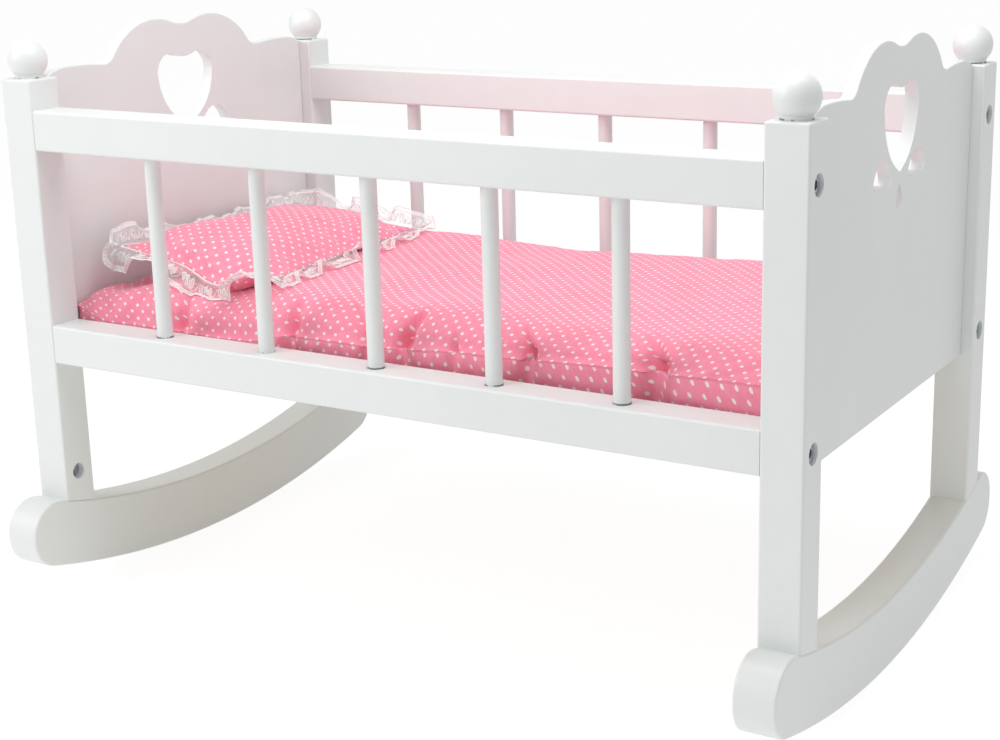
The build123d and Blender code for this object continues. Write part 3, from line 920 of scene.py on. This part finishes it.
class CRADLE_OT_mattress(bpy.types.Operator):
    """Sews and fills the mattress"""

    bl_idname = "cradle.mattress"
    bl_label = "Make the mattress"

    def execute(self, context):
        settings = context.scene.cradle_mattress
        low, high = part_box("mattress")
        half = Vector(((high.x - low.x) / 2, (high.y - low.y) / 2))
        middle = (low + high) / 2
        centre = Vector((middle.x, middle.y, low.z + settings.seam_height))
        height = high.z - centre.z
        upper = Section(settings.edge_width, height, settings.edge_fullness)
        lower = Section(settings.under_width, settings.seam_height, settings.under_fullness, upper)
        piece = make_cushion(
            MATTRESS, half, settings.cell, ((upper, upper), height),
            ((lower, lower), -settings.seam_height), settings.draw)
        swell(piece, settings.swell, settings.pressure)
        refine(piece)
        push_in(piece, lambda point: mattress_puckers(point, half))
        move_points(piece, lambda point: shape_mattress(point, half, height))

        def settle(point):
            """Back on the board and between the rails and panels."""
            x = max(-half.x, min(half.x, point.x))
            y = max(-half.y, min(half.y, point.y))
            return Vector((x, y, max(point.z, -settings.seam_height))) + centre

        move_points(piece, settle)
        finish_piece(piece, cotton(context), "mattress", "mattress")
        return {"FINISHED"}


# Pillow

# Puckers as on the mattress, in the pillow's own plane
PILLOW_PUCKERS = {
    "front": (
        (-34, 4, 1.6, 14, 3), (-20, 5, 1.2, 16, -2), (-4, 4, 1.8, 18, 4), (12, 5, 1.4, 14, -3),
        (27, 4, 1.8, 16, 2),
    ),
    "back": (
        (-30, 5, 1.4, 14, 2), (-8, 5, 1.6, 18, -3), (14, 5, 1.6, 16, 3), (32, 4, 1.2, 14, -2),
    ),
    "foot": (
        (-78, 5, 1.6, 14, 3), (-58, 4, 1.2, 18, -3), (-36, 5, 1.6, 20, 4), (-12, 5, 1.2, 16, -2),
        (10, 5, 1.6, 20, 3), (34, 4, 1.4, 16, -3), (56, 5, 1.6, 18, 3), (80, 4, 1.4, 14, -2),
    ),
    "head": (
        (-70, 5, 1.4, 16, 3), (-30, 5, 1.4, 16, -3), (6, 5, 1.4, 18, 2), (44, 5, 1.4, 16, -3),
    ),
}
# Where each corner of the seam lies from its square place: along, across and up, in millimetres
PILLOW_CORNERS = {
    "head_front": (2, -2, 0.5),
    "foot_front": (13, -4, -3.0),
    "head_back": (-6, 0, -3.5),
    "foot_back": (-3, 0, -5.5),
}
# Each hollow or rise of the whole pillow, as on the mattress
PILLOW_WAVES = (
    (17, -97, 17, -8.5),
    (52, -97, 12, 6.0),
    (-55, -97, 16, 2.5),
    (10, -60, 30, -1.5),
    (-28, -58, 26, 2.6),
)
# How much fuller the pillow's head front corner is, and how far from the corner
PILLOW_CORNER_FULL = 1.5
PILLOW_CORNER_REACH = 24 * MM
# Random unevenness of the top, as on the mattress
PILLOW_UNEVEN = (0.9 * MM, 34, 8.4)
# How much thicker than in the middle it is at its front edge, and thinner at its back edge
PILLOW_SLOPE = 0.13
# How far its sides pull in between the corners
PILLOW_DRAW = 2 * MM
# How far it stays over the mattress
PILLOW_REST = 0.4 * MM
# How far in from the front and back edges its cloth climbs, as a share of half its width
PILLOW_CLIMB = 0.95
# Roundness of its edge over and under the seam: 2 is an ellipse
PILLOW_OVER, PILLOW_UNDER = 2.0, 2.6
# The share of their pull that its puckers have at the seam, and the height in which it grows by 1
PILLOW_SEAM_PULL = 0.3
PILLOW_PUCKER_RISE = 4 * MM


def pillow_puckers(point, half):
    """How far the puckers pull the pillow in at a point."""
    x, y, z = point
    places = {
        "front": (x, half.y + y), "back": (x, half.y - y), "foot": (y, half.x - x),
        "head": (y, half.x + x)}
    push = sum(
        pucker_push(*place, PILLOW_PUCKERS[side]) for side, place in places.items())
    return push * min(1.0, PILLOW_SEAM_PULL + abs(z) / PILLOW_PUCKER_RISE)


def shape_pillow(point, half, height):
    """The soft unevenness of the pillow, and how it lies, at a point of its filled shape."""
    x, y, z = point
    if z > 0:
        z += unevenness(PILLOW_UNEVEN, x, y) * z / height
        z *= 1 + PILLOW_CORNER_FULL * bell(hypot(x + half.x, y + half.y), PILLOW_CORNER_REACH)
    z *= 1 - PILLOW_SLOPE * y / half.y
    return Vector((x, y, z)) + pillow_shift(x, y)


def pillow_shift(x, y):
    """How far a place on the pillow lies from where it would be, were it square and flat."""
    size = bpy.context.scene.cradle_pillow
    along, across = 0.5 + x / size.width, 0.5 + y / size.length
    front, back = (
        Vector(PILLOW_CORNERS["head_" + side]).lerp(Vector(PILLOW_CORNERS["foot_" + side]), along)
        for side in ("front", "back"))
    return front.lerp(back, across) * MM + Vector((0, 0, rises(PILLOW_WAVES, x, y)))


def pillow_plane(settings):
    """The plane of the pillow's seam, as a matrix from its own coordinates."""
    low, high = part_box("pillow_frill")
    return Matrix.Translation((low + high) / 2) @ Matrix.Rotation(settings.tilt, 4, "Y")


class CRADLE_OT_pillow(bpy.types.Operator):
    """Sews and fills the pillow, and lays it on the mattress"""

    bl_idname = "cradle.pillow"
    bl_label = "Make the pillow"

    def execute(self, context):
        settings = context.scene.cradle_pillow
        half = Vector((settings.width / 2, settings.length / 2))
        upper, lower = [], []
        for width in (PILLOW_CLIMB * half.x, settings.end_width):
            upper.append(Section(width, settings.crown, PILLOW_OVER))
            lower.append(Section(width, settings.belly, PILLOW_UNDER, upper[-1]))
        piece = make_cushion(
            PILLOW, half, settings.cell, (upper, settings.crown), (lower, -settings.belly),
            PILLOW_DRAW, stitched=False)
        filled = crown(piece)
        scale_crown(piece, settings.slack)
        swell(piece, settings.swell, settings.pressure)
        scale_crown(piece, filled / crown(piece))
        refine(piece)
        push_in(piece, lambda point: pillow_puckers(point, half))
        move_points(piece, lambda point: shape_pillow(point, half, settings.crown))
        plane = pillow_plane(settings)
        bed = surface_tree(bpy.data.objects[MATTRESS])

        def settle(point):
            """Into the cradle, and up off the mattress."""
            placed = plane @ point
            under = height_under(bed, placed)
            if under is not None:
                placed.z = max(placed.z, under + PILLOW_REST)
            return placed

        move_points(piece, settle)
        finish_piece(piece, cotton(context), "pillow", "pillow")
        return {"FINISHED"}


# Frill

# Each fold: share of the way along its side, lift of the net above the seam's plane in
# degrees, width as a share, and how far the edge leans along the side in millimetres
FOLDS = {
    "front_left": (
        (0.0, 56, 0.75, 0), (0.3, 14, 0.45, 2), (0.55, -42, 0.95, 0), (0.8, -66, 1.0, -3),
        (1.0, -74, 1.0, -5),
    ),
    "front": (
        (0.0, -74, 1.0, -5), (0.1, -64, 0.95, -4), (0.17, -6, 0.8, -3), (0.27, 8, 0.75, 0),
        (0.36, -6, 0.85, -2), (0.46, -44, 0.95, 0), (0.56, -64, 1.05, 0), (0.68, -64, 0.9, 4),
        (0.76, -60, 0.85, 7), (0.83, 4, 0.8, -4), (1.0, 12, 0.85, 0),
    ),
    "front_right": ((0.0, 12, 0.85, 0), (0.3, 8, 0.9, 0), (0.7, -4, 1.0, 3), (1.0, -16, 1.0, 0)),
    "foot": (
        (0.0, -16, 1.0, 0), (0.06, -24, 1.05, 3), (0.13, 18, 0.95, -3), (0.2, -24, 1.05, 5),
        (0.28, 26, 0.9, -4), (0.36, -24, 1.1, 6), (0.43, -18, 1.15, 8), (0.5, 30, 0.85, -6),
        (0.6, 32, 0.8, -2), (0.68, -20, 1.0, 5), (0.76, 22, 0.85, -4), (0.85, -20, 0.95, 4),
        (0.93, 18, 0.85, -3), (1.0, 8, 0.85, 0),
    ),
    "back_right": ((0.0, 8, 0.85, 0), (0.3, 40, 0.85, 2), (0.6, 20, 0.8, -2), (1.0, 36, 0.8, 0)),
    "back": (
        (0.0, 36, 0.8, 0), (0.15, 60, 0.85, 3), (0.3, 30, 0.75, -3), (0.5, 62, 0.9, 3),
        (0.64, 14, 0.7, -3), (0.82, 66, 0.95, 2), (1.0, 46, 0.8, 0),
    ),
    "back_left": ((0.0, 46, 0.8, 0), (0.5, 44, 0.7, 0), (1.0, 30, 0.65, 0)),
    "head": (
        (0.0, 30, 0.65, 0), (0.08, 40, 0.8, 2), (0.16, 18, 0.65, -2), (0.27, 32, 0.7, 3),
        (0.38, 12, 0.65, -3), (0.5, 26, 0.7, 2), (0.61, 12, 0.65, -2), (0.72, 36, 0.75, 3),
        (0.82, 26, 0.75, -3), (0.91, 62, 0.95, 2), (1.0, 56, 0.75, 0),
    ),
}
# Columns of the net from the seam to the edge
FOLD_COLUMNS = 12
# How near the points of the net's two ends are, where they are joined
NET_WELD = 0.001 * MM
# Waves of the net, height and length along it: the gathers at the seam and those of the edge
GATHER_WAVE = (0.4 * MM, 5.2 * MM)
EDGE_WAVE = (1.3 * MM, 21 * MM)
# How far the edge sways along the side, and how deep its scallops are as a share of the width
EDGE_SWAY = 1.0 * MM
SCALLOP_DEPTH = 0.035
# How far the net stays off the mattress and the head panel
BED_GAP = 1.0 * MM
PANEL_GAP = 1.2 * MM
# How much of its own place a point of the net keeps each time its neighbours pull it
KEPT = 0.6
# Where the cord of the edge and the line inside it run, as shares of the net's width
CORD_PLACES = (1.0, 0.83)
# The motif, as shares of its length and of the net's width. The flower has its middle, its
# size and its petals
MOTIF_STEM = (
    (0.02, 0.42), (0.12, 0.3), (0.25, 0.26), (0.38, 0.36), (0.5, 0.52), (0.62, 0.66),
    (0.76, 0.7), (0.89, 0.58), (1.02, 0.42),
)
MOTIF_LEAVES = (
    (
        (0.16, 0.28), (0.13, 0.44), (0.18, 0.58), (0.25, 0.62), (0.29, 0.5), (0.26, 0.36),
        (0.2, 0.28),
    ),
    (
        (0.62, 0.64), (0.6, 0.46), (0.66, 0.3), (0.74, 0.24), (0.79, 0.38), (0.76, 0.54),
        (0.68, 0.66),
    ),
)
MOTIF_FLOWER = ((0.47, 0.36), (0.0935, 0.1445), 5)
# Points round the flower, and half the depth of the notches between its petals
FLOWER_POINTS = 20
PETAL_NOTCH = 0.4


def frill_rows(settings, half):
    """Where each row of the net starts, in the pillow's plane.

    Gives (place on the seam, direction outwards, direction along, fold values) for each row.
    """
    corners = {
        "front": (-half.x, -half.y), "foot": (half.x, -half.y), "back": (half.x, half.y),
        "head": (-half.x, half.y)}
    outwards = {"front": (0, -1), "foot": (1, 0), "back": (0, 1), "head": (-1, 0)}
    order = ("front", "foot", "back", "head")
    turns = ("front_right", "back_right", "back_left", "front_left")
    rows = []
    for number, side in enumerate(order):
        start, out = Vector(corners[side]), Vector(outwards[side])
        end = Vector(corners[order[(number + 1) % 4]])
        along = (end - start).normalized()
        count = round((end - start).length * settings.gather / settings.step)
        for row in range(count):
            at = row / count
            place = start.lerp(end, at) - out * PILLOW_DRAW * (1 - (2 * at - 1) ** 2)
            rows.append((place, out, along, between(FOLDS[side], at)))
        count = round(settings.corner / settings.step)
        for row in range(count):
            at = row / count
            turn = Matrix.Rotation(at * pi / 2, 2)
            rows.append((end, turn @ out, turn @ along, between(FOLDS[turns[number]], at)))
    return rows


def frill_point(row, run, across, settings):
    """A point of the net in the pillow's own coordinates: run and across are on the flat net."""
    place, out, along, (lift, reach, lean) = row
    part = across / settings.width
    scallop = 1 + SCALLOP_DEPTH * part ** 6 * abs(sin(pi * run / settings.scallop))
    angle = radians(lift) * min(1.0, 0.35 + part)
    outward = across * reach * scallop * cos(angle)
    up = across * reach * scallop * sin(angle)
    # The gathers open out towards the edge, where longer waves take over
    turn = 2 * pi * run / EDGE_WAVE[1]
    gathers = GATHER_WAVE[0] * (1 - part) ** 2 * sin(2 * pi * run / GATHER_WAVE[1])
    waves = EDGE_WAVE[0] * part ** 1.3 * sin(turn + 0.8 * sin(run * 61))
    sway = EDGE_SWAY * part * sin(2 * turn + 1.2)
    up += (gathers + waves) * cos(angle)
    outward -= (gathers + waves) * sin(angle)
    flat = place + out * outward + along * (lean * MM * part + sway)
    return Vector((flat.x, flat.y, up)) + pillow_shift(place.x, place.y)


class Frill:
    """The frill's surface, from its flat net to its gathered place in the cradle."""

    def __init__(self, settings, pillow, bed, wall):
        half = Vector((pillow.width / 2, pillow.length / 2))
        rows = frill_rows(settings, half)
        self.settings = settings
        self.length = len(rows) * settings.step
        plane = pillow_plane(pillow)
        self.grid = []
        for number, row in enumerate(rows):
            line = []
            for column in range(FOLD_COLUMNS + 1):
                across = settings.width * column / FOLD_COLUMNS
                point = plane @ frill_point(row, number * settings.step, across, settings)
                point.x = max(point.x, wall)
                under = height_under(bed, point)
                if under is not None and column > 1:
                    point.z = max(point.z, under + BED_GAP)
                line.append(point)
            self.grid.append(line)
        self.relax()

    def relax(self):
        """Softens what the mattress and the panel pushed out of place."""
        for _ in range(2):
            befores = self.grid[-1:] + self.grid[:-1]
            afters = self.grid[1:] + self.grid[:1]
            self.grid = [
                [
                    point * KEPT + (before + after) * ((1 - KEPT) / 2)
                    for point, before, after in zip(*lines)
                ]
                for lines in zip(self.grid, befores, afters)
            ]

    def at(self, run, share_out):
        """The place of a point of the flat net."""
        row = run / self.settings.step
        column = min(share_out * FOLD_COLUMNS, FOLD_COLUMNS - 1e-6)
        low_row, low_column = int(row // 1), int(column // 1)
        row_part, column_part = row - low_row, column - low_column
        first = self.grid[low_row % len(self.grid)]
        second = self.grid[(low_row + 1) % len(self.grid)]
        near = first[low_column].lerp(first[low_column + 1], column_part)
        far = second[low_column].lerp(second[low_column + 1], column_part)
        return near.lerp(far, row_part)


def net_mesh(frill):
    """The net as a mesh strip, closed round the pillow."""
    count = len(frill.grid)
    mesh = bmesh.new()
    layer = mesh.loops.layers.uv.new("cloth")
    grid = bmesh.ops.create_grid(mesh, x_segments=count, y_segments=FOLD_COLUMNS, size=1)
    for face in mesh.faces:
        face.smooth = True
        for loop in face.loops:
            x, y, _ = loop.vert.co
            loop[layer].uv = (x + 1) / 2 * frill.length, (y + 1) / 2 * frill.settings.width
    for vert in grid["verts"]:
        row = round((vert.co.x + 1) / 2 * count) % count
        vert.co = frill.grid[row][round((vert.co.y + 1) / 2 * FOLD_COLUMNS)]
    bmesh.ops.remove_doubles(mesh, verts=mesh.verts, dist=NET_WELD)
    data = bpy.data.meshes.new(FRILL)
    mesh.to_mesh(data)
    mesh.free()
    return data


def thread_lines(frill):
    """The edge cord, the line inside it and the stitched motifs, as (closed, points)."""
    settings = frill.settings
    half_steps = range(2 * len(frill.grid))
    for share_out in CORD_PLACES:
        yield True, [frill.at(step * settings.step / 2, share_out) for step in half_steps]
    count = round(frill.length / settings.motif)
    pitch = frill.length / count
    flower = flower_line()
    for number in range(count):
        for line in (MOTIF_STEM, *MOTIF_LEAVES, flower):
            closed = line is not MOTIF_STEM
            yield closed, [frill.at((number + u) * pitch, v) for u, v in line]


def flower_line():
    """The outline of the motif's flower."""
    (middle_u, middle_v), (radius_u, radius_v), petals = MOTIF_FLOWER
    line = []
    for step in range(FLOWER_POINTS):
        turn = 2 * pi * step / FLOWER_POINTS
        petal = 1 - PETAL_NOTCH * (1 - cos(petals * turn))
        line.append((
            middle_u + radius_u * petal * cos(turn), middle_v + radius_v * petal * sin(turn)))
    return line


def threads_mesh(frill, radius):
    """The threads as one mesh of thin tubes."""
    curve = bpy.data.curves.new(THREADS, "CURVE")
    curve.dimensions = "3D"
    curve.bevel_depth = radius
    curve.bevel_resolution = 0
    curve.use_fill_caps = True
    for closed, points in thread_lines(frill):
        spline = curve.splines.new("POLY")
        spline.points.add(len(points) - 1)
        spline.use_cyclic_u = closed
        for knot, point in zip(spline.points, points):
            knot.co = (*point, 1)
    holder = bpy.data.objects.new("thread_lines", curve)
    data = bpy.data.meshes.new_from_object(holder)
    bpy.data.objects.remove(holder)
    bpy.data.curves.remove(curve)
    data.name = THREADS
    for face in data.polygons:
        face.use_smooth = True
    return data


class CRADLE_OT_frill(bpy.types.Operator):
    """Gathers the net frill round the pillow, with its cord and motifs"""

    bl_idname = "cradle.frill"
    bl_label = "Make the frill"

    def execute(self, context):
        settings = context.scene.cradle_frill
        bed = surface_tree(bpy.data.objects[MATTRESS])
        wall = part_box("head_panel")[1].x + PANEL_GAP
        frill = Frill(settings, context.scene.cradle_pillow, bed, wall)
        for name, data, material in (
            (FRILL, net_mesh(frill), net_finish(settings)),
            (THREADS, threads_mesh(frill, settings.cord / 2), thread_finish()),
        ):
            piece = bpy.data.objects.new(name, data)
            context.scene.collection.objects.link(piece)
            finish_piece(piece, material, "pillow", "pillow_frill")
        return {"FINISHED"}


# Studio

# Half the length of the floor's sides
FLOOR_REACH = 6.0
# The floor as the cradle's light meets it: how white it is and its own glow
FLOOR_LIT = (0.95, 0.18)
# The floor as it is looked at, so that it shows as white with a soft shadow
FLOOR_SEEN = (0.2, 0.885)
# The camera: its place, its turn round the cradle, slope and roll in degrees, and its shift
CAMERA_PLACE = (0.5978, -0.9651, 0.4647)
CAMERA_TURN = (30.4016, 15.0745, -1.1)
CAMERA_SHIFT = (-0.0454, -0.0166)


class CRADLE_OT_studio(bpy.types.Operator):
    """Sets up the floor, the light and the camera"""

    bl_idname = "cradle.studio"
    bl_label = "Set up the studio"

    def execute(self, context):
        settings = context.scene.cradle_studio
        make_floor()
        make_world(settings)
        for name, place, aim, size, level in (
            ("key_light", (-0.8, -1.0, 0.85), (-0.25, -0.15, 0.25), 0.7, settings.key),
            ("top_light", (0.12, -0.12, 0.95), (-0.12, 0.0, 0.2), 0.6, settings.top),
        ):
            add_light(name, Vector(place), Vector(aim), size, level)
        add_camera(settings)
        context.scene.view_settings.view_transform = "Standard"
        return {"FINISHED"}


def plain_sight(finish):
    """1 for rays that only look: from the camera, off gloss and through glass."""
    paths = finish.node("LightPath").socket.node.outputs
    camera, gloss, glass = (
        Value(finish, paths[f"Is {kind} Ray"]) for kind in ("Camera", "Glossy", "Transmission"))
    return camera.most(gloss).most(glass)


def make_floor():
    """A white floor that keeps a soft shadow."""
    mesh = bmesh.new()
    bmesh.ops.create_grid(mesh, x_segments=1, y_segments=1, size=FLOOR_REACH)
    data = bpy.data.meshes.new("floor")
    mesh.to_mesh(data)
    mesh.free()
    floor = bpy.data.objects.new("floor", data)
    bpy.context.scene.collection.objects.link(floor)
    finish = Finish("white_floor")
    shaders = []
    for white, strength in (FLOOR_LIT, FLOOR_SEEN):
        matt = finish.node("BsdfDiffuse", sockets={"Color": grey(white)})
        glow = finish.node("Emission", sockets={"Color": grey(1.0), "Strength": strength})
        shaders.append(finish.node("AddShader", sockets={0: matt, 1: glow}))
    lit, seen = shaders
    data.materials.append(finish.output(finish.node(
        "MixShader", sockets={0: plain_sight(finish), 1: lit, 2: seen})))
    floor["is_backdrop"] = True


def make_world(settings):
    """Even light from all round, seen as white."""
    finish = Finish("studio", world=True)
    strength = plain_sight(finish).ramp(0.0, 1.0, settings.ambient, 1.0)
    background = finish.node("Background", sockets={"Color": grey(1.0), "Strength": strength})
    finish.node("OutputWorld", sockets={"Surface": background})
    bpy.context.scene.world = finish.owner


def add_light(name, place, aim, size, level):
    """A square soft light. A level of 1 at its aim shows a colour there as it is written."""
    light = bpy.data.lights.new(name, "AREA")
    light.size = size
    light.energy = level * pi ** 2 * (place - aim).length_squared
    lamp = bpy.data.objects.new(name, light)
    lamp.location = place
    lamp.rotation_euler = (place - aim).to_track_quat("Z", "Y").to_euler()
    bpy.context.scene.collection.objects.link(lamp)


def add_camera(settings):
    """The camera, where it stood for the photograph."""
    azimuth, elevation, roll = (radians(turn) for turn in CAMERA_TURN)
    right = Vector((cos(azimuth), sin(azimuth), 0))
    back = Vector((
        sin(azimuth) * cos(elevation), -cos(azimuth) * cos(elevation), sin(elevation)))
    up = back.cross(right)
    axes = (right * cos(roll) + up * sin(roll), up * cos(roll) - right * sin(roll), back)
    data = bpy.data.cameras.new("camera")
    data.lens = settings.lens
    data.sensor_width = 36
    data.shift_x, data.shift_y = CAMERA_SHIFT
    camera = bpy.data.objects.new("camera", data)
    camera.matrix_world = Matrix.Translation(CAMERA_PLACE) @ Matrix(axes).transposed().to_4x4()
    bpy.context.scene.collection.objects.link(camera)
    bpy.context.scene.camera = camera


OPERATORS = (
    CRADLE_OT_studio,
    CRADLE_OT_lacquer,
    CRADLE_OT_fasteners,
    CRADLE_OT_mattress,
    CRADLE_OT_pillow,
    CRADLE_OT_frill,
)


class CRADLE_PT_dress(bpy.types.Panel):
    """The steps that dress the cradle"""

    bl_idname = "CRADLE_PT_dress"
    bl_label = "Doll Cradle"
    bl_space_type = "VIEW_3D"
    bl_region_type = "UI"
    bl_category = "Cradle"

    def draw(self, context):
        for operator in OPERATORS:
            self.layout.operator(operator.bl_idname, text=operator.bl_label)


CLASSES = (*SETTINGS.values(), *OPERATORS, CRADLE_PT_dress)


def register():
    for item in CLASSES:
        bpy.utils.register_class(item)
    for name, settings in SETTINGS.items():
        setattr(bpy.types.Scene, name, PointerProperty(type=settings))


def unregister():
    for name in SETTINGS:
        delattr(bpy.types.Scene, name)
    for item in reversed(CLASSES):
        bpy.utils.unregister_class(item)


def main():
    """Dresses the cradle."""
    register()
    for operator in OPERATORS:
        group, name = operator.bl_idname.split(".")
        getattr(getattr(bpy.ops, group), name)()
    boxes = {"cad": cad_box, "visual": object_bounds()}
    {name: [list(corner) for corner in box] for name, box in boxes.items()}


if __name__ == "__main__":
    main()
